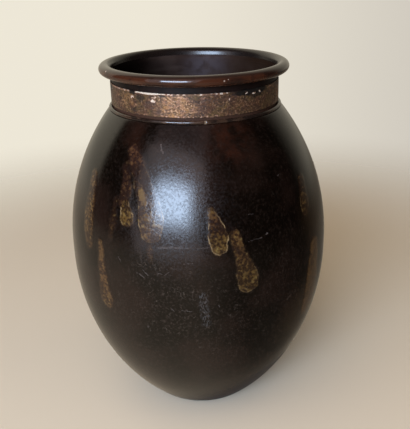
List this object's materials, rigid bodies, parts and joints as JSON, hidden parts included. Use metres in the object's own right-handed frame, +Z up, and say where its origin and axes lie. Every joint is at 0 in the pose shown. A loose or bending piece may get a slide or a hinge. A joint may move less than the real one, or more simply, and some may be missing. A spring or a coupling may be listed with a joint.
{
  "type": "ovoid vase",
  "caption": "Egg-shaped metal flower vase with a short straight neck, a textured band round it, a rolled lip and a low recessed foot ring.",
  "frame": {"origin": "centre of the foot on the plane that the vase rests on", "axes": "+Z up along the vase's own axis; the vase is a body of revolution, and -Y is the side that faces the viewer"},
  "size_m": [0.19, 0.19, 0.258],
  "materials": {
    "dark_bronze": "dark brown patina, polished and waxed, with ochre drip-shaped patina marks",
    "rim_bronze": "chestnut brown patina, polished",
    "worn_copper": "rough copper-coloured skin with worm-track texture and dark patches",
    "foot_bronze": "dull dark brown, as cast, worn where it rests"
  },
  "bodies": {
    "root": {"body_shell": "dark_bronze", "neck_tube": "dark_bronze", "mouth_rim": "rim_bronze", "neck_band": "worn_copper", "shoulder_bead": "rim_bronze", "foot_ring": "foot_bronze", "base_plate": "foot_bronze"}
  },
  "joints": []
}
